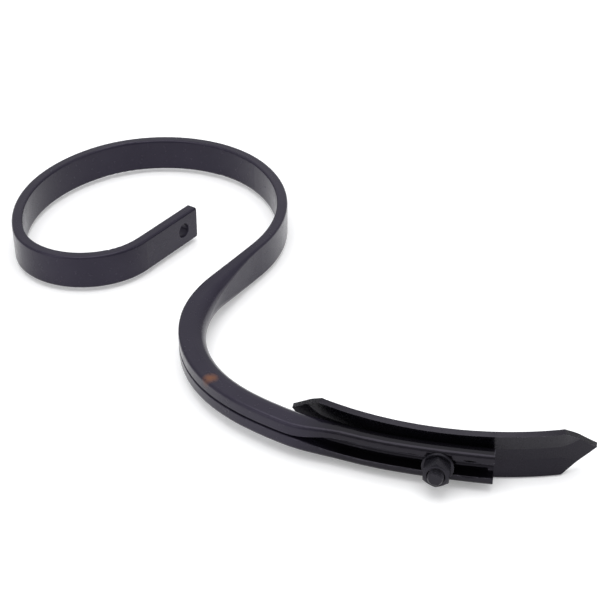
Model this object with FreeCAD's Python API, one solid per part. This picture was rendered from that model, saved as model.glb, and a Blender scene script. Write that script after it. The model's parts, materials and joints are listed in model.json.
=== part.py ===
# Spring S-tine of a cultivator with a reversible point bolted to its lower end.
# Millimetres. The tine lies on its side: Z runs across the bar, X runs along the clamp end,
# and the origin is the centre of the clamp hole.
import os
import math
import FreeCAD
import Part

# ---- spring bar ----
BAR_W = 32.0            # width of the flat bar, along Z
BAR_T = 10.0            # thickness of the flat bar
BAR_EDGE_R = 2.2        # rolled corner of the flat bar

# ---- clamp end ----
CLAMP_RUN = 73.0        # straight length held by the clamp
CLAMP_HOLE_D = 13.5     # clearance hole for an M12 clamp bolt
CLAMP_HOLE_IN = 20.0    # hole centre to the end of the bar
HOLE_BREAK = 0.4        # broken edge round the clamp hole
CLAMP_CORNER_R = 4.0    # corner of the end, seen on the wide face
CLAMP_END_R = 1.5       # rounding of the end face

# ---- coil: radius of the bar's middle line and angle turned ----
LEAD_R, LEAD_TURN = 63.5, 129.6
REAR_R, REAR_TURN = 144.0, 67.3
CROWN_R, CROWN_TURN = 113.5, 94.8
FRONT_R, FRONT_TURN = 142.0, 65.8

# ---- crossover and lower curve, turning the other way ----
CROSS_RUN = 60.5
HEEL_R, HEEL_TURN = 122.0, 73.2
SHIN_R, SHIN_TURN = 158.0, 11.7
TOE_R, TOE_TURN = 305.0, 22.8
FOOT_R, FOOT_TURN = 650.0, 6.0

# ---- formed lower section: the flat bar folds up into a grooved section, then opens again ----
FOLD_RUN = 115.0        # length over which the bar folds, from the end of the coil
OPEN_RUN = 45.0         # length over which the fold opens
CHANNEL_RUN = 110.0     # length of open channel at the lower end
FOLD_W = 22.5           # width of the folded section
FOLD_LIP = 10.8         # middle line to the lips of the folded section
FOLD_BACK = 11.5        # middle line to the back of the folded section
FOLD_WEB = 12.0         # thickness between the floor of the slot and the back
FOLD_SLOT_W = 1.6       # width of the slot between the folded lips
CHANNEL_W = 26.5        # width of the open channel
CHANNEL_LIP = 5.5
CHANNEL_BACK = 13.0
CHANNEL_WEB = 6.3
CHANNEL_GAP = 0.8       # gap on each side of the bolt in the channel
LIP_OUTER_R = 2.6       # outer corner of a lip
LIP_INNER_R = 1.2       # inner corner of a lip
BACK_FLAT = 2.0         # flat left on the rounded back

# ---- reversible point ----
POINT_LEN = 230.0       # tip to tip, straight across
POINT_W = 40.0
POINT_T = 5.0
POINT_R = 254.0         # lengthwise curve of the face that beds on the tine
POINT_WEB = 10.0        # flat between the two long folds
POINT_FOLD = 13.0       # degrees that the long edges turn back
POINT_NOSE = 25.0       # length of each V-shaped end
POINT_FADE = 30.0       # length over which the folds run out, up to a tip
POINT_SHIFT = 2.7       # middle of the point behind the bolt
POINT_BED = 1.0         # depth of the seat pressed into the back of the tine

# ---- M12 plough bolt, nut and washer ----
BOLT_IN = 40.0          # bolt centre to the lower end of the tine, along its middle line
BOLT_D = 12.0
BOLT_OUT = 4.0          # threaded end standing out of the nut
BOLT_TIP = 1.1          # chamfer on the threaded end
HEAD_RIM = 0.6          # cylindrical rim of the countersunk head
HEAD_FLOOR = 0.3        # thickness of the point left under the head's cone and the square neck
THREAD_GAP = 0.08       # radial gap between bolt and nut
HOLE_GAP = 0.5          # radial gap of the bolt in the tine
NECK_GAP = 0.25         # gap on each side of the square neck
NUT_AF = 19.0
NUT_H = 10.0
NUT_EDGE = 0.3          # depth of the chamfer where it meets the flats
NUT_SINK = 0.9          # countersink at each end of the thread
WASHER_D = 24.0
WASHER_GAP = 0.5        # radial gap between bolt and washer
WASHER_T = 2.5
WASHER_BREAK = 0.3      # broken outer edge

STATION_GAP = 11.0      # spacing of the cross-sections that the formed bar and the point run through

Z_UP = FreeCAD.Vector(0, 0, 1)

# Runs of the middle line from the clamp end: length or radius, turn in degrees, left is positive.
COIL_RUNS = [
    (CLAMP_RUN, 0.0),
    (LEAD_R, -LEAD_TURN),
    (REAR_R, -REAR_TURN),
    (CROWN_R, -CROWN_TURN),
    (FRONT_R, -FRONT_TURN),
]
LOWER_RUNS = [
    (CROSS_RUN, 0.0),
    (HEEL_R, HEEL_TURN),
    (SHIN_R, SHIN_TURN),
    (TOE_R, TOE_TURN),
    (FOOT_R, FOOT_TURN),
]


def run_length(run):
    size, turn = run
    if turn == 0.0:
        return size
    return size * math.radians(abs(turn))


def advance(place, run, distance):
    """Move along one run of the middle line: place is x, y and heading."""
    x, y, heading = place
    size, turn = run
    if turn == 0.0:
        return (x + distance * math.cos(heading), y + distance * math.sin(heading), heading)
    side = math.copysign(1.0, turn)
    new = heading + side * distance / size
    cx = x - side * size * math.sin(heading)
    cy = y + side * size * math.cos(heading)
    return (cx + side * size * math.sin(new), cy - side * size * math.cos(new), new)


def along(place, runs, distance):
    """Place at a distance along a chain of runs."""
    for run in runs[:-1]:
        length = run_length(run)
        if distance <= length:
            return advance(place, run, distance)
        place = advance(place, run, length)
        distance -= length
    return advance(place, runs[-1], distance)


CLAMP_START = (CLAMP_HOLE_IN, 0.0, math.pi)
COIL_LEN = sum(run_length(run) for run in COIL_RUNS)
LOWER_LEN = sum(run_length(run) for run in LOWER_RUNS)
LOWER_START = along(CLAMP_START, COIL_RUNS, COIL_LEN)
BOLT_PLACE = along(LOWER_START, LOWER_RUNS, LOWER_LEN - BOLT_IN)


def offset_point(place, out, z):
    """Point beside the middle line: out is positive on the left of the heading."""
    x, y, heading = place
    return FreeCAD.Vector(x - out * math.sin(heading), y + out * math.cos(heading), z)


def at_bolt(shape):
    """Bring a shape built about the bolt centre (X along the tine, Y toward its back) into place."""
    x, y, heading = BOLT_PLACE
    turn = FreeCAD.Rotation(Z_UP, math.degrees(heading))
    moved = shape.copy()
    moved.Placement = FreeCAD.Placement(FreeCAD.Vector(x, y, 0), turn).multiply(shape.Placement)
    return moved


def corner_arc(place, out, z, radius, start):
    """Quarter round in a cross-section: out and z of its centre, start angle in degrees."""
    points = []
    for angle in (start, start + 45, start + 90):
        a = math.radians(angle)
        points.append(offset_point(place, out + radius * math.cos(a), z + radius * math.sin(a)))
    return Part.Arc(points[0], points[1], points[2]).toShape()


def rounded_section(place, width, lip, back, lip_r, back_r):
    """Closed cross-section with its lips on the right of the heading and its back on the left."""
    half = width / 2
    arcs = [
        corner_arc(place, back - back_r, half - back_r, back_r, 0),
        corner_arc(place, lip_r - lip, half - lip_r, lip_r, 90),
        corner_arc(place, lip_r - lip, lip_r - half, lip_r, 180),
        corner_arc(place, back - back_r, back_r - half, back_r, 270),
    ]
    edges = []
    for index, arc in enumerate(arcs):
        following = arcs[(index + 1) % len(arcs)]
        edges.append(arc)
        end = arc.lastVertex(True).Point
        edges.append(Part.LineSegment(end, following.firstVertex(True).Point).toShape())
    return Part.Wire(edges)


def blend(start, end, share):
    """Ease from one size to another as share goes from 0 to 1."""
    share = min(max(share, 0.0), 1.0)
    return start + (end - start) * (1 - math.cos(math.pi * share)) / 2


def formed_sizes(distance):
    """Sizes of the formed section at a distance below the coil."""
    fold = distance / FOLD_RUN
    opening = (distance - (LOWER_LEN - CHANNEL_RUN - OPEN_RUN)) / OPEN_RUN
    flat = BAR_T / 2
    fold_r = FOLD_W / 2 - BACK_FLAT / 2
    channel_r = CHANNEL_W / 2 - BACK_FLAT / 2
    fold_slot_h = FOLD_LIP + FOLD_BACK - FOLD_WEB
    channel_slot_h = CHANNEL_LIP + CHANNEL_BACK - CHANNEL_WEB
    channel_slot_w = BOLT_D + 2 * CHANNEL_GAP
    return {
        "width": blend(blend(BAR_W, FOLD_W, fold), CHANNEL_W, opening),
        "lip": blend(blend(flat, FOLD_LIP, fold), CHANNEL_LIP, opening),
        "back": blend(blend(flat, FOLD_BACK, fold), CHANNEL_BACK, opening),
        "lip_r": blend(BAR_EDGE_R, LIP_OUTER_R, fold),
        "back_r": blend(blend(BAR_EDGE_R, fold_r, fold), channel_r, opening),
        "slot_w": blend(FOLD_SLOT_W, channel_slot_w, opening),
        "slot_h": blend(fold_slot_h, channel_slot_h, opening),
        "slot_in": blend(-1.0, 0.0, fold),
    }


def formed_stations(start, end):
    """Distances below the coil at which the formed section is drawn."""
    count = max(4, int(round((end - start) / STATION_GAP)))
    return [start + (end - start) * index / count for index in range(count + 1)]


def flat_bar():
    """Clamp end and coil: the flat bar drawn along straight and round runs."""
    pieces = []
    place = CLAMP_START
    for run in COIL_RUNS:
        flat = BAR_T / 2
        face = Part.Face(rounded_section(place, BAR_W, flat, flat, BAR_EDGE_R, BAR_EDGE_R))
        size, turn = run
        if turn == 0.0:
            heading = place[2]
            pieces.append(face.extrude(FreeCAD.Vector(math.cos(heading), math.sin(heading), 0) * size))
        else:
            centre = offset_point(place, math.copysign(size, turn), 0)
            pieces.append(face.revolve(centre, Z_UP, turn))
        place = advance(place, run, run_length(run))
    return pieces[0].fuse(pieces[1:]).removeSplitter()


def formed_bar():
    """Crossover and lower curve, before the slot is cut."""
    wires = []
    for distance in formed_stations(0.0, LOWER_LEN):
        size = formed_sizes(distance)
        place = along(LOWER_START, LOWER_RUNS, distance)
        wires.append(rounded_section(
            place, size["width"], size["lip"], size["back"], size["lip_r"], size["back_r"]))
    return Part.makeLoft(wires, True, False)


def slot_section(place, size):
    """Cross-section of the slot between the two lips, standing clear of them outside."""
    half = size["slot_w"] / 2
    lift = size["slot_in"] * (size["slot_h"] + LIP_INNER_R)
    mouth = lift - size["lip"] - LIP_INNER_R / 6
    floor = lift - size["lip"] + size["slot_h"]
    floor_r = min(half * 0.8, size["slot_h"] / 3)
    outside = mouth - 2 * LIP_INNER_R
    wide = half + LIP_INNER_R
    lower_mouth = []
    upper_mouth = []
    for angle in (0, 45, 90):
        a = math.radians(angle)
        out = mouth + LIP_INNER_R * (1 - math.cos(a))
        z = wide - LIP_INNER_R * math.sin(a)
        upper_mouth.append(offset_point(place, out, z))
        lower_mouth.append(offset_point(place, out, -z))
    upper_out = offset_point(place, outside, wide)
    lower_out = offset_point(place, outside, -wide)
    upper_floor = corner_arc(place, floor - floor_r, half - floor_r, floor_r, 0)
    lower_floor = corner_arc(place, floor - floor_r, floor_r - half, floor_r, 270)
    return Part.Wire([
        Part.LineSegment(upper_out, upper_mouth[0]).toShape(),
        Part.Arc(*upper_mouth).toShape(),
        Part.LineSegment(upper_mouth[2], upper_floor.lastVertex(True).Point).toShape(),
        upper_floor,
        Part.LineSegment(upper_floor.firstVertex(True).Point, lower_floor.lastVertex(True).Point).toShape(),
        lower_floor,
        Part.LineSegment(lower_floor.firstVertex(True).Point, lower_mouth[2]).toShape(),
        Part.Arc(*reversed(lower_mouth)).toShape(),
        Part.LineSegment(lower_mouth[0], lower_out).toShape(),
        Part.LineSegment(lower_out, upper_out).toShape(),
    ])


def slot_cutter():
    """Room between the lips, from where the fold starts to past the lower end."""
    wires = []
    for distance in formed_stations(FOLD_RUN / 4, LOWER_LEN + BAR_T):
        place = along(LOWER_START, LOWER_RUNS, distance)
        wires.append(slot_section(place, formed_sizes(distance)))
    return Part.makeLoft(wires, True, False)


def clamp_end_cutter():
    """Material outside the rounded end of the clamp run; its corners start just outside the bar's sides."""
    end = CLAMP_HOLE_IN
    half = BAR_W / 2 + CLAMP_CORNER_R / 10
    reach = BAR_T
    block = Part.makeBox(reach, 2 * BAR_T, 2 * half + reach,
                         FreeCAD.Vector(end - CLAMP_CORNER_R, -BAR_T, -half - reach / 2))
    keep = Part.makeBox(reach, 2 * BAR_T, 2 * half, FreeCAD.Vector(end - reach, -BAR_T, -half))
    corners = []
    for edge in keep.Edges:
        middle = edge.CenterOfMass
        if abs(middle.x - end) < 0.01 and abs(abs(middle.z) - half) < 0.01:
            corners.append(edge)
    return block.cut(keep.makeFillet(CLAMP_CORNER_R, corners))


def clamp_hole_cutter():
    """Clamp hole with its two broken edges."""
    radius = CLAMP_HOLE_D / 2
    wide = radius + HOLE_BREAK
    half = BAR_T / 2
    profile = Part.makePolygon([
        FreeCAD.Vector(0, -half - 1, 0),
        FreeCAD.Vector(wide, -half - 1, 0),
        FreeCAD.Vector(wide, -half, 0),
        FreeCAD.Vector(radius, HOLE_BREAK - half, 0),
        FreeCAD.Vector(radius, half - HOLE_BREAK, 0),
        FreeCAD.Vector(wide, half, 0),
        FreeCAD.Vector(wide, half + 1, 0),
        FreeCAD.Vector(0, half + 1, 0),
        FreeCAD.Vector(0, -half - 1, 0),
    ])
    return Part.Face(profile).revolve(FreeCAD.Vector(0, 0, 0), FreeCAD.Vector(0, 1, 0), 360)


def spring_tine():
    bar = flat_bar().fuse(formed_bar())
    bar = bar.cut(slot_cutter())
    bar = bar.cut(clamp_end_cutter())
    end_edges = []
    for edge in bar.Edges:
        if edge.BoundBox.XMin > CLAMP_HOLE_IN - 0.01 and edge.Length > BAR_T / 4:
            end_edges.append(edge)
    bar = bar.makeFillet(CLAMP_END_R, end_edges)
    bar = bar.cut(clamp_hole_cutter())
    bolt_hole = Part.makeCylinder(BOLT_D / 2 + HOLE_GAP, CHANNEL_BACK + CHANNEL_LIP + 2,
                                  FreeCAD.Vector(0, -CHANNEL_LIP - 1, 0), FreeCAD.Vector(0, 1, 0))
    bar = bar.cut(at_bolt(bolt_hole))
    return bar.cut(at_bolt(point_blank()))


def point_section(distance):
    """Cross-section of the point at a distance from its middle, measured along its curve."""
    half_len = POINT_R * math.asin(POINT_LEN / 2 / POINT_R)
    fade = (half_len - abs(distance)) / POINT_FADE
    turn = math.radians(blend(0.0, POINT_FOLD, fade))
    half = POINT_W / 2
    fold_z = blend(half - POINT_T, POINT_WEB / 2, fade)
    edge_out = POINT_T * math.sin(turn)
    inner_z = half - edge_out
    inner_y = -(inner_z - fold_z) * math.tan(turn)
    fold_outer_z = fold_z + POINT_T * math.tan(turn / 2)
    outer_y = inner_y + POINT_T * math.cos(turn)
    upper = [(inner_y, inner_z), (outer_y, half), (POINT_T, fold_outer_z)]
    outline = [(0.0, fold_z)] + upper
    outline += [(y, -z) for y, z in reversed(outline)]
    angle = distance / POINT_R
    points = []
    for y, z in outline:
        radius = POINT_R - y
        points.append(FreeCAD.Vector(radius * math.sin(angle), POINT_R - radius * math.cos(angle), z))
    points.append(points[0])
    return Part.makePolygon(points)


def nose_cutter(side):
    """Material outside one V-shaped end: side is +1 or -1."""
    tip = POINT_LEN / 2
    far = tip + POINT_NOSE
    half = POINT_W / 2
    slope = half / POINT_NOSE
    top = half + slope * POINT_NOSE / 2
    outline = [
        (tip, 0.0),
        (tip - (top / slope), top),
        (far, top),
        (far, -top),
        (tip - (top / slope), -top),
        (tip, 0.0),
    ]
    points = [FreeCAD.Vector(side * x, -POINT_W, z) for x, z in outline]
    return Part.Face(Part.makePolygon(points)).extrude(FreeCAD.Vector(0, 3 * POINT_W, 0))


def point_blank():
    """Reversible point without its bolt hole, in the frame of the bolt."""
    half_len = POINT_R * math.asin(POINT_LEN / 2 / POINT_R) + POINT_T
    count = 2 * int(round(half_len / STATION_GAP * 2))
    wires = [point_section(half_len * (2 * index / count - 1)) for index in range(count + 1)]
    blank = Part.makeLoft(wires, True, False)
    for side in (1, -1):
        blank = blank.cut(nose_cutter(side))
    blank.translate(FreeCAD.Vector(-POINT_SHIFT, CHANNEL_BACK - POINT_BED - point_sag(), 0))
    return blank


def point_sag():
    """Rise of the point's bedding face at the bolt, above the middle of the point."""
    return POINT_R - math.sqrt(POINT_R ** 2 - POINT_SHIFT ** 2)


def head_face():
    """Height of the point's working face at the bolt."""
    return CHANNEL_BACK - POINT_BED + POINT_T


def bolt_end():
    """Height of the bolt's threaded end, below the nut."""
    return -CHANNEL_LIP - WASHER_T - NUT_H - BOLT_OUT


def head_cone():
    """Countersunk head: a rim and a 90 degree cone that stops inside the point."""
    face = head_face()
    depth = POINT_T - HEAD_RIM - HEAD_FLOOR
    radius = BOLT_D / 2 + depth
    profile = Part.makePolygon([
        FreeCAD.Vector(0, face, 0),
        FreeCAD.Vector(radius, face, 0),
        FreeCAD.Vector(radius, face - HEAD_RIM, 0),
        FreeCAD.Vector(radius - depth, face - HEAD_RIM - depth, 0),
        FreeCAD.Vector(0, face - HEAD_RIM - depth, 0),
        FreeCAD.Vector(0, face, 0),
    ])
    return Part.Face(profile).revolve(FreeCAD.Vector(0, 0, 0), FreeCAD.Vector(0, 1, 0), 360)


def square_neck(gap, low, high):
    """Square neck as wide as the bolt's diameter, or its hole when gap is above zero."""
    side = BOLT_D + 2 * gap
    return Part.makeBox(side, high - low, side, FreeCAD.Vector(-side / 2, low, -side / 2))


def reversible_point():
    blank = point_blank()
    low = head_face() - 3 * POINT_T
    blank = blank.cut(head_cone().fuse(square_neck(NECK_GAP, low, head_face())))
    return at_bolt(blank)


def plough_bolt():
    face = head_face()
    end = bolt_end()
    axis = FreeCAD.Vector(0, 1, 0)
    radius = BOLT_D / 2 - THREAD_GAP / 2
    shank_len = face - HEAD_RIM - end - BOLT_TIP
    shank = Part.makeCylinder(radius, shank_len, FreeCAD.Vector(0, end + BOLT_TIP, 0), axis)
    tip = Part.makeCone(radius - BOLT_TIP, radius, BOLT_TIP, FreeCAD.Vector(0, end, 0), axis)
    neck = square_neck(0.0, face - POINT_T + HEAD_FLOOR, face - HEAD_RIM)
    return at_bolt(head_cone().fuse([neck, shank, tip]).removeSplitter())


def flat_washer():
    low = -CHANNEL_LIP - WASHER_T
    axis = FreeCAD.Vector(0, 1, 0)
    ring = Part.makeCylinder(WASHER_D / 2, WASHER_T, FreeCAD.Vector(0, low, 0), axis)
    edges = [edge for edge in ring.Edges if abs(edge.Length - math.pi * WASHER_D) < 0.01]
    ring = ring.makeChamfer(WASHER_BREAK, edges)
    bore = Part.makeCylinder(BOLT_D / 2 + WASHER_GAP, WASHER_T, FreeCAD.Vector(0, low, 0), axis)
    return at_bolt(ring.cut(bore))


def hex_nut():
    """Nut with a corner toward +Z, chamfered on both faces."""
    low = -CHANNEL_LIP - WASHER_T - NUT_H
    corner = NUT_AF / math.sqrt(3)
    points = []
    for index in range(7):
        angle = math.radians(90 + 60 * index)
        points.append(FreeCAD.Vector(corner * math.cos(angle), low, corner * math.sin(angle)))
    body = Part.Face(Part.makePolygon(points)).extrude(FreeCAD.Vector(0, NUT_H, 0))
    slope = math.tan(math.radians(30))
    flat = NUT_AF / 2 - NUT_EDGE / slope
    wide = corner + NUT_SINK
    drop = (wide - flat) * slope
    rim = Part.makePolygon([
        FreeCAD.Vector(0, low, 0),
        FreeCAD.Vector(flat, low, 0),
        FreeCAD.Vector(wide, low + drop, 0),
        FreeCAD.Vector(wide, low + NUT_H - drop, 0),
        FreeCAD.Vector(flat, low + NUT_H, 0),
        FreeCAD.Vector(0, low + NUT_H, 0),
        FreeCAD.Vector(0, low, 0),
    ])
    turned = Part.Face(rim).revolve(FreeCAD.Vector(0, 0, 0), FreeCAD.Vector(0, 1, 0), 360)
    radius = BOLT_D / 2 + THREAD_GAP / 2
    mouth = radius + NUT_SINK
    bore = Part.makePolygon([
        FreeCAD.Vector(0, low - 1, 0),
        FreeCAD.Vector(mouth, low - 1, 0),
        FreeCAD.Vector(mouth, low, 0),
        FreeCAD.Vector(radius, low + NUT_SINK, 0),
        FreeCAD.Vector(radius, low + NUT_H - NUT_SINK, 0),
        FreeCAD.Vector(mouth, low + NUT_H, 0),
        FreeCAD.Vector(mouth, low + NUT_H + 1, 0),
        FreeCAD.Vector(0, low + NUT_H + 1, 0),
        FreeCAD.Vector(0, low - 1, 0),
    ])
    hole = Part.Face(bore).revolve(FreeCAD.Vector(0, 0, 0), FreeCAD.Vector(0, 1, 0), 360)
    return at_bolt(body.common(turned).cut(hole))


NODES = {
    "spring_tine": spring_tine,
    "reversible_point": reversible_point,
    "plough_bolt": plough_bolt,
    "flat_washer": flat_washer,
    "hex_nut": hex_nut,
}

os.makedirs("parts", exist_ok=True)
for name, build in NODES.items():
    shape = build()
    state = "valid" if shape.isValid() else "INVALID"
    print(name, state, len(shape.Solids), "solid", "volume %.0f" % shape.Volume)
    shape.exportStep("parts/%s.step" % name)
print("bolt place x %.3f y %.3f heading %.3f" % (BOLT_PLACE[0], BOLT_PLACE[1], math.degrees(BOLT_PLACE[2])))
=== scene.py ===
# Looks of a cultivator spring tine with its reversible point: finishes, detailed fasteners, light and camera.
import bpy
import bmesh
import json
import math
from mathutils import Matrix, Vector


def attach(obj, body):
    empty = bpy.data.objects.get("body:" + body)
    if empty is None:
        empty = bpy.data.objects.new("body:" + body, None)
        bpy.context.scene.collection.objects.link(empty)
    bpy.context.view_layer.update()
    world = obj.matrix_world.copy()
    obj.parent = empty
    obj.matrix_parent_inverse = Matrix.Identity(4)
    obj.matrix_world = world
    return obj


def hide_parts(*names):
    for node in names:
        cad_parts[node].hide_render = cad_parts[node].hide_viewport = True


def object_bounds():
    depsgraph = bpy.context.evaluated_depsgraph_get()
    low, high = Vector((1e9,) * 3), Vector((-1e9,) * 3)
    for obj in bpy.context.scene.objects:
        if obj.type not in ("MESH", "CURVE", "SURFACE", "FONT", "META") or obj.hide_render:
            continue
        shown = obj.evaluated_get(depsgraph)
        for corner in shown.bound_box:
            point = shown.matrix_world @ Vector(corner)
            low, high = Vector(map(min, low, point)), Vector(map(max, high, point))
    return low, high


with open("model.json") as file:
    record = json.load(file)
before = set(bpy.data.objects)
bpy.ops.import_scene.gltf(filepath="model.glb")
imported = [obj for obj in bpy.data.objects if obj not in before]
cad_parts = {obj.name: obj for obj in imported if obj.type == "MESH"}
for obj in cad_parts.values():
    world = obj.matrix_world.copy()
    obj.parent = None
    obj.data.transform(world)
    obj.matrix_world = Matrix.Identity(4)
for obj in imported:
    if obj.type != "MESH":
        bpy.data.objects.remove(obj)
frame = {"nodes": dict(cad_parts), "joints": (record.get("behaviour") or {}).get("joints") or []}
cad_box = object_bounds()

# ---- bolt axis, from the frame: it leaves the tine toward the nut ----
SPIN = next(joint for joint in frame["joints"] if joint["name"] == "nut_spin")
BOLT_OUT = Vector(SPIN["axis"]).normalized()
BOLT_CENTRE = Vector(SPIN["pos_m"])

# ---- M12 fasteners, in metres ----
BOLT_R = 0.00596
THREAD_PITCH = 0.00175
THREAD_DEPTH = 0.00095
THREAD_LEN = 0.022
TIP_CHAMFER = 0.0011
HEAD_R = 0.0101
HEAD_RIM = 0.0006
HEAD_EDGE = 0.0003
NECK_HALF = 0.006
NECK_CORNER_R = NECK_HALF * 1.36
NECK_SHOULDER = 0.0001
NUT_HALF_AF = 0.0095
NUT_EDGE = 0.0003
NUT_RIM_DROP = 0.00005
NUT_FACE_SHARE = 0.98
NUT_CORNER_DROP = 0.0002
NUT_CORNER_LIFT = 0.00003
NUT_SINK = 0.0009
NUT_BORE_R = 0.00604
NUT_THREAD_DEPTH = 0.0008
WASHER_R = 0.012
WASHER_BORE_R = 0.0065
WASHER_ROUND = 0.0004

# ---- thread form, as shares of half a pitch ----
CREST_SHARE = 0.15
FLANK_SHARE = 0.6

# ---- fineness of the fastener meshes ----
BOLT_AROUND = 96
WASHER_AROUND = 96
NUT_AROUND = 144
THREAD_STEPS = 12
ROUND_STEPS = 4
FACET_SPLIT_DEG = 38

# ---- black dip over the lower end of the tine, and a rust bruise on its bend ----
DOWN = Vector((0, 0, 1)).cross(BOLT_OUT)
DIP_START = BOLT_CENTRE.dot(DOWN) - 0.120
DIP_FULL = BOLT_CENTRE.dot(DOWN) - 0.070
DIP_DRIFT = 0.03
DIP_COLOUR = (0.0025, 0.0022, 0.0032)
DIP_GLOSS = 0.07
BRUISE_R = 0.008
BRUISE_PLACE = Vector((-0.178, -0.173, 0.009))

# ---- paint and rust on every piece ----
PAINT_IOR = 1.34
PAINT_SHEEN = (0.88, 0.82, 1.0, 1.0)
RUST_COLOUR = (0.150, 0.060, 0.026)
RUST_ROUGHNESS = 0.3

# ---- studio ----
STUDIO_AIM = (-0.05, -0.15, 0)
FLOOR_HALF = 6.0
FLOOR_GAP = 0.0002

# ---- camera ----
CAMERA_AIM = Vector((-0.0178, -0.1505, 0.0))
CAMERA_AZIMUTH = 304.24
CAMERA_ELEVATION = 33.04
CAMERA_DISTANCE = 1.2225
CAMERA_ROLL = 0.24
CAMERA_LENS = 84.9
CAMERA_SHIFT = (-0.0058, -0.0195)


def axis_span(node):
    """Lowest and highest distance of a CAD node along the bolt's outward axis."""
    mesh = frame["nodes"][node].data
    reach = [(vertex.co - BOLT_CENTRE).dot(BOLT_OUT) for vertex in mesh.vertices]
    return min(reach), max(reach)


def bolt_matrix():
    """Local Z along the bolt's outward axis, local X along the row's Z."""
    side = Vector((0, 0, 1))
    cross = BOLT_OUT.cross(side)
    turn = Matrix((side, cross, BOLT_OUT)).transposed().to_4x4()
    return Matrix.Translation(BOLT_CENTRE) @ turn


# ---------------------------------------------------------------- materials

def node_tree(name):
    material = bpy.data.materials.new(name)
    material.use_nodes = True
    tree = material.node_tree
    return material, tree, tree.nodes["Principled BSDF"]


def noise(tree, coordinate, scale, detail, roughness=0.5):
    node = tree.nodes.new("ShaderNodeTexNoise")
    node.inputs["Scale"].default_value = scale
    node.inputs["Detail"].default_value = detail
    node.inputs["Roughness"].default_value = roughness
    tree.links.new(coordinate, node.inputs["Vector"])
    return node.outputs["Fac"]


def ramp(tree, value, low, high, low_out=0.0, high_out=1.0):
    node = tree.nodes.new("ShaderNodeMapRange")
    node.interpolation_type = "SMOOTHSTEP"
    node.inputs["From Min"].default_value = low
    node.inputs["From Max"].default_value = high
    node.inputs["To Min"].default_value = low_out
    node.inputs["To Max"].default_value = high_out
    tree.links.new(value, node.inputs["Value"])
    return node.outputs["Result"]


def mix(tree, share, first, second):
    node = tree.nodes.new("ShaderNodeMix")
    node.data_type = "RGBA"
    tree.links.new(share, node.inputs["Factor"])
    for value, socket in ((first, node.inputs["A"]), (second, node.inputs["B"])):
        if isinstance(value, tuple):
            socket.default_value = (*value, 1.0)
        else:
            tree.links.new(value, socket)
    return node.outputs["Result"]


def calculate(tree, operation, first, second):
    node = tree.nodes.new("ShaderNodeMath")
    node.operation = operation
    for value, socket in ((first, node.inputs[0]), (second, node.inputs[1])):
        if isinstance(value, float):
            socket.default_value = value
        else:
            tree.links.new(value, socket)
    return node.outputs["Value"]


def edge_mask(tree, radius):
    """Near 1 on sharp edges: how far a bevelled normal turns from the true one."""
    bevel = tree.nodes.new("ShaderNodeBevel")
    bevel.samples = 6
    bevel.inputs["Radius"].default_value = radius
    geometry = tree.nodes.new("ShaderNodeNewGeometry")
    dot = tree.nodes.new("ShaderNodeVectorMath")
    dot.operation = "DOT_PRODUCT"
    tree.links.new(bevel.outputs["Normal"], dot.inputs[0])
    tree.links.new(geometry.outputs["Normal"], dot.inputs[1])
    return ramp(tree, dot.outputs["Value"], 0.99, 0.85)


def bumps(tree, heights):
    """Chain of bump nodes: (height, strength, distance in metres), coarse to fine."""
    normal = None
    for height, strength, distance in heights:
        node = tree.nodes.new("ShaderNodeBump")
        node.inputs["Strength"].default_value = strength
        node.inputs["Distance"].default_value = distance
        tree.links.new(height, node.inputs["Height"])
        if normal is not None:
            tree.links.new(normal, node.inputs["Normal"])
        normal = node.outputs["Normal"]
    return normal


def dip_mask(tree, place):
    """0 on the tine's own coat, 1 where the lower end was dipped in black, with an uneven edge."""
    along = tree.nodes.new("ShaderNodeVectorMath")
    along.operation = "DOT_PRODUCT"
    tree.links.new(place, along.inputs[0])
    along.inputs[1].default_value = DOWN
    drift = calculate(tree, "MULTIPLY", noise(tree, place, 30.0, 2.0), DIP_DRIFT)
    reach = calculate(tree, "ADD", along.outputs["Value"], drift)
    return ramp(tree, reach, DIP_START + DIP_DRIFT / 2, DIP_FULL + DIP_DRIFT / 2)


def bruise_mask(tree, place, grain):
    """1 in a small knocked spot on the bend where rust comes through."""
    gap = tree.nodes.new("ShaderNodeVectorMath")
    gap.operation = "DISTANCE"
    tree.links.new(place, gap.inputs[0])
    gap.inputs[1].default_value = BRUISE_PLACE
    near = ramp(tree, gap.outputs["Value"], BRUISE_R, BRUISE_R * 0.2)
    return calculate(tree, "MULTIPLY", near, ramp(tree, grain, 0.25, 0.5))


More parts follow.
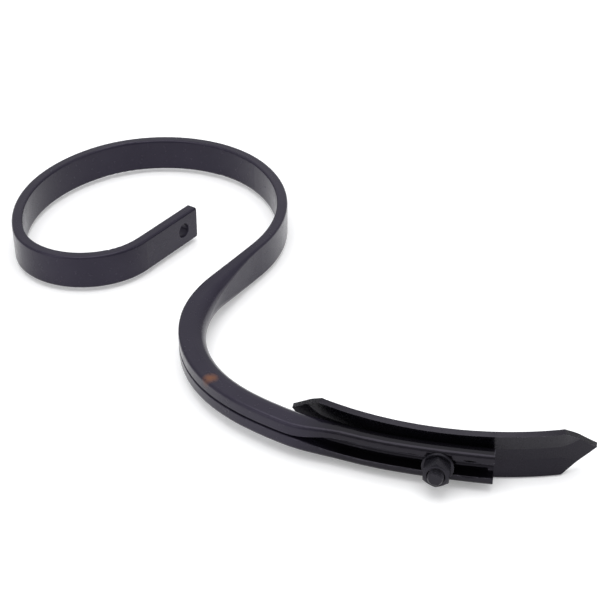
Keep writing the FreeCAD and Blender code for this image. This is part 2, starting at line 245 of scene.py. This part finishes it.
def painted_steel(name, base, dust, wear, roughness, edge_radius, rust_share, dipped=False):
    """Paint over forged steel: cloudy colour, orange peel, scuffs, worn edges and a few rust specks."""
    material, tree, shader = node_tree(name)
    place = tree.nodes.new("ShaderNodeTexCoord").outputs["Object"]
    cloud = noise(tree, place, 14.0, 4.0)
    speckle = noise(tree, place, 520.0, 3.0, 0.7)
    peel = noise(tree, place, 900.0, 2.0)
    hammer = noise(tree, place, 75.0, 3.0)
    scuff = noise(tree, place, 160.0, 6.0, 0.75)
    spots = noise(tree, place, 42.0, 5.0, 0.6)
    colour = mix(tree, ramp(tree, cloud, 0.35, 0.7), base, dust)
    rough = ramp(tree, scuff, 0.3, 0.75, roughness - 0.04, roughness + 0.08)
    rust = ramp(tree, spots, rust_share, rust_share + 0.05)
    if dipped:
        dip = dip_mask(tree, place)
        colour = mix(tree, dip, colour, DIP_COLOUR)
        rough = calculate(tree, "SUBTRACT", rough, calculate(tree, "MULTIPLY", dip, DIP_GLOSS))
        rust = calculate(tree, "MAXIMUM", rust, bruise_mask(tree, place, scuff))
    edges = calculate(tree, "MULTIPLY", edge_mask(tree, edge_radius), ramp(tree, scuff, 0.45, 0.62))
    colour = mix(tree, edges, colour, wear)
    colour = mix(tree, rust, colour, RUST_COLOUR)
    tree.links.new(colour, shader.inputs["Base Color"])
    rough = calculate(tree, "ADD", rough, calculate(tree, "MULTIPLY", rust, RUST_ROUGHNESS))
    tree.links.new(rough, shader.inputs["Roughness"])
    shader.inputs["IOR"].default_value = PAINT_IOR
    shader.inputs["Specular Tint"].default_value = PAINT_SHEEN
    normal = bumps(tree, [(hammer, 0.16, 0.0004), (peel, 0.05, 0.0001), (speckle, 0.02, 0.0001)])
    tree.links.new(normal, shader.inputs["Normal"])
    return material


def floor_finish():
    material, tree, shader = node_tree("studio_floor")
    place = tree.nodes.new("ShaderNodeTexCoord").outputs["Object"]
    tone = ramp(tree, noise(tree, place, 3.0, 2.0), 0.3, 0.7)
    tree.links.new(mix(tree, tone, (0.86, 0.86, 0.865), (0.88, 0.88, 0.88)), shader.inputs["Base Color"])
    shader.inputs["Roughness"].default_value = 0.7
    shader.inputs["Emission Color"].default_value = (1.0, 1.0, 1.0, 1.0)
    shader.inputs["Emission Strength"].default_value = 0.2
    return material


TINE_PAINT = painted_steel("tine_paint", (0.0125, 0.0106, 0.0195), (0.0185, 0.0160, 0.0265),
                           (0.075, 0.070, 0.088), 0.22, 0.0012, 0.76, dipped=True)
POINT_PAINT = painted_steel("point_paint", (0.0022, 0.0020, 0.0034), (0.0052, 0.0048, 0.0068),
                            (0.045, 0.043, 0.052), 0.24, 0.0010, 0.80)
FASTENER_PAINT = painted_steel("fastener_paint", (0.0050, 0.0048, 0.0066), (0.0095, 0.0092, 0.0115),
                               (0.050, 0.050, 0.055), 0.27, 0.0005, 0.78)


def finish_node(node, material):
    """Give a CAD node its paint."""
    obj = frame["nodes"][node]
    obj.data.materials.clear()
    obj.data.materials.append(material)


# ---------------------------------------------------------------- detailed fasteners

def rings_to_mesh(name, rings, material, closed_tube=False):
    """Skin a list of equal rings of points; ends are closed unless the rings run round as a tube."""
    mesh = bmesh.new()
    layers = [[mesh.verts.new(point) for point in ring] for ring in rings]
    count = len(layers[0])
    pairs = list(zip(layers, layers[1:]))
    if closed_tube:
        pairs.append((layers[-1], layers[0]))
    for lower, upper in pairs:
        for index in range(count):
            following = (index + 1) % count
            mesh.faces.new((lower[index], lower[following], upper[following], upper[index]))
    if not closed_tube:
        mesh.faces.new(list(reversed(layers[0])))
        mesh.faces.new(layers[-1])
    bmesh.ops.recalc_face_normals(mesh, faces=mesh.faces)
    data = bpy.data.meshes.new(name)
    mesh.to_mesh(data)
    mesh.free()
    for polygon in data.polygons:
        polygon.use_smooth = True
    data.set_sharp_from_angle(angle=math.radians(FACET_SPLIT_DEG))
    obj = bpy.data.objects.new(name, data)
    bpy.context.scene.collection.objects.link(obj)
    obj.matrix_world = bolt_matrix()
    data.materials.append(material)
    return obj


def thread_cut(angle, height):
    """Share of the thread's depth cut away at a turn angle and height: 0 on the crest, 1 in the root."""
    phase = (height / THREAD_PITCH - angle / (2 * math.pi)) % 1.0
    distance = abs(phase - 0.5) * 2
    return min(max((distance - CREST_SHARE) / FLANK_SHARE, 0.0), 1.0)


def square_radius(angle, half, corner):
    """Distance to the side of a square with its corners cut at a radius."""
    side = half / max(abs(math.cos(angle)), abs(math.sin(angle)))
    return min(side, corner)


def bolt_piece():
    """Plough bolt: flush countersunk head, square neck, plain shank and rolled M12 thread."""
    low, high = axis_span("plough_bolt")
    cone = BOLT_R + HEAD_RIM
    neck_end = low + (HEAD_R - BOLT_R) + HEAD_RIM
    thread_start = high - THREAD_LEN
    threaded = high - TIP_CHAMFER - thread_start
    rows = int(threaded / THREAD_PITCH * THREAD_STEPS)
    profile = [(low, HEAD_R - HEAD_EDGE, "turned"), (low + HEAD_EDGE, HEAD_R, "turned"),
               (low + HEAD_RIM, HEAD_R, "turned")]
    for share in (0.25, 0.5, 0.75, 1.0):
        height = low + HEAD_RIM + share * (HEAD_R - cone)
        profile.append((height, HEAD_R - share * (HEAD_R - cone), "neck"))
    profile.append((neck_end, BOLT_R, "neck"))
    profile.append((neck_end + NECK_SHOULDER, BOLT_R, "turned"))
    profile.append((thread_start, BOLT_R, "turned"))
    for row in range(1, rows + 1):
        profile.append((thread_start + threaded * row / rows, BOLT_R, "thread"))
    for share in (0.35, 0.7, 1.0):
        profile.append((high - TIP_CHAMFER * (1 - share), BOLT_R - TIP_CHAMFER * share, "turned"))
    rings = []
    for height, radius, kind in profile:
        ring = []
        for index in range(BOLT_AROUND):
            angle = 2 * math.pi * index / BOLT_AROUND
            reach = radius
            if kind == "neck":
                reach = max(radius, square_radius(angle, NECK_HALF, NECK_CORNER_R))
            if kind == "thread":
                fade = min((height - thread_start) / THREAD_PITCH, 1.0)
                reach = radius - THREAD_DEPTH * thread_cut(angle, height) * fade
            ring.append((reach * math.cos(angle), reach * math.sin(angle), height))
        rings.append(ring)
    return rings_to_mesh("bolt_detail", rings, FASTENER_PAINT)


def hex_radius(angle):
    """Distance to the side of the hexagon, which has a corner on local X."""
    turn = (angle + math.pi / 6) % (math.pi / 3) - math.pi / 6
    return NUT_HALF_AF / math.cos(math.pi / 6 - abs(turn))


def nut_piece():
    """M12 hexagon nut: both faces chamfered, threaded bore with countersinks."""
    low, high = axis_span("hex_nut")
    slope = math.tan(math.radians(30))
    flat = NUT_HALF_AF - NUT_EDGE / slope
    bore = high - low - 2 * NUT_SINK
    rows = int(bore / THREAD_PITCH * THREAD_STEPS)
    shapes = []
    for index in range(NUT_AROUND):
        angle = 2 * math.pi * index / NUT_AROUND
        corner = hex_radius(angle)
        drop = (corner - flat) * slope
        edge = corner + NUT_CORNER_LIFT
        face = flat * NUT_FACE_SHARE
        shape = [(low, NUT_BORE_R + NUT_SINK), (low, face), (low + NUT_RIM_DROP, flat)]
        shape += [(low + drop, corner), (low + drop + NUT_CORNER_DROP, edge)]
        shape += [(high - drop - NUT_CORNER_DROP, edge), (high - drop, corner)]
        shape += [(high - NUT_RIM_DROP, flat), (high, face), (high, NUT_BORE_R + NUT_SINK)]
        for row in range(rows + 1):
            height = high - NUT_SINK - bore * row / rows
            fade = min(1.0, row / THREAD_STEPS, (rows - row) / THREAD_STEPS)
            shape.append((height, NUT_BORE_R - NUT_THREAD_DEPTH * thread_cut(angle, height) * fade))
        shapes.append(shape)
    rings = []
    for level in range(len(shapes[0])):
        ring = []
        for index, shape in enumerate(shapes):
            angle = 2 * math.pi * index / NUT_AROUND
            height, radius = shape[level]
            ring.append((radius * math.cos(angle), radius * math.sin(angle), height))
        rings.append(ring)
    return rings_to_mesh("nut_detail", rings, FASTENER_PAINT, closed_tube=True)


def washer_piece():
    """Flat washer with all four edges rounded alike."""
    low, high = axis_span("flat_washer")
    section = []
    corners = [
        (low, WASHER_BORE_R, 1, 1), (low, WASHER_R, -1, 1),
        (high, WASHER_R, -1, -1), (high, WASHER_BORE_R, 1, -1),
    ]
    starts = [math.pi, 1.5 * math.pi, 0.0, 0.5 * math.pi]
    for (height, radius, inward, upward), start in zip(corners, starts):
        centre_r = radius + inward * WASHER_ROUND
        centre_h = height + upward * WASHER_ROUND
        for step in range(ROUND_STEPS + 1):
            angle = start + math.pi / 2 * step / ROUND_STEPS
            section.append((centre_h + WASHER_ROUND * math.sin(angle),
                            centre_r + WASHER_ROUND * math.cos(angle)))
    rings = []
    for height, radius in section:
        ring = []
        for index in range(WASHER_AROUND):
            angle = 2 * math.pi * index / WASHER_AROUND
            ring.append((radius * math.cos(angle), radius * math.sin(angle), height))
        rings.append(ring)
    return rings_to_mesh("washer_detail", rings, FASTENER_PAINT, closed_tube=True)


def dress_object():
    finish_node("spring_tine", TINE_PAINT)
    finish_node("reversible_point", POINT_PAINT)
    for build, node, body in (
            (bolt_piece, "plough_bolt", "tine"),
            (washer_piece, "flat_washer", "washer"),
            (nut_piece, "hex_nut", "nut")):
        piece = build()
        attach(piece, body)
        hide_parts(node)


# ---------------------------------------------------------------- floor, light and camera

def add_floor(height):
    mesh = bpy.data.meshes.new("floor")
    far = FLOOR_HALF
    corners = [(-far, -far, height), (far, -far, height), (far, far, height), (-far, far, height)]
    mesh.from_pydata(corners, [], [(0, 1, 2, 3)])
    floor = bpy.data.objects.new("floor", mesh)
    bpy.context.scene.collection.objects.link(floor)
    mesh.materials.append(floor_finish())


def add_softbox(name, place, aim, size, power):
    data = bpy.data.lights.new(name, "AREA")
    data.shape = "RECTANGLE"
    data.size, data.size_y = size
    data.energy = power
    lamp = bpy.data.objects.new(name, data)
    lamp.location = place
    lamp.rotation_euler = (Vector(aim) - Vector(place)).to_track_quat("-Z", "Y").to_euler()
    bpy.context.scene.collection.objects.link(lamp)


def add_world(horizon, top):
    """Pale surroundings, dimmer near the horizon than overhead."""
    world = bpy.data.worlds.new("studio")
    world.use_nodes = True
    tree = world.node_tree
    split = tree.nodes.new("ShaderNodeSeparateXYZ")
    tree.links.new(tree.nodes.new("ShaderNodeTexCoord").outputs["Generated"], split.inputs["Vector"])
    background = tree.nodes["Background"]
    background.inputs["Color"].default_value = (0.98, 0.985, 1.0, 1.0)
    tree.links.new(ramp(tree, split.outputs["Z"], 0.0, 0.9, horizon, top), background.inputs["Strength"])
    bpy.context.scene.world = world


def add_camera():
    data = bpy.data.cameras.new("camera")
    data.lens = CAMERA_LENS
    data.sensor_width = 36.0
    data.shift_x, data.shift_y = CAMERA_SHIFT
    camera = bpy.data.objects.new("camera", data)
    bpy.context.scene.collection.objects.link(camera)
    turn, lift = math.radians(CAMERA_AZIMUTH), math.radians(CAMERA_ELEVATION)
    back = Vector((math.sin(turn) * math.cos(lift), -math.cos(turn) * math.cos(lift), math.sin(lift)))
    camera.location = CAMERA_AIM + back * CAMERA_DISTANCE
    facing = (-back).to_track_quat("-Z", "Y")
    roll = Matrix.Rotation(math.radians(CAMERA_ROLL), 3, "Z").to_quaternion()
    camera.rotation_mode = "QUATERNION"
    camera.rotation_quaternion = facing @ roll
    data.clip_start = 0.01
    data.clip_end = 50.0
    bpy.context.scene.camera = camera


dress_object()
add_floor(cad_box[0].z - FLOOR_GAP)
add_softbox("overhead", (-0.1, -0.1, 1.8), STUDIO_AIM, (1.6, 1.6), 18.0)
add_softbox("left_side", (-1.9, 0.5, 0.9), STUDIO_AIM, (1.2, 1.0), 5.0)
add_softbox("right_side", (1.0, -1.9, 0.9), STUDIO_AIM, (1.2, 1.0), 4.0)
add_world(0.45, 1.0)
add_camera()
bpy.context.scene.view_settings.view_transform = "Standard"
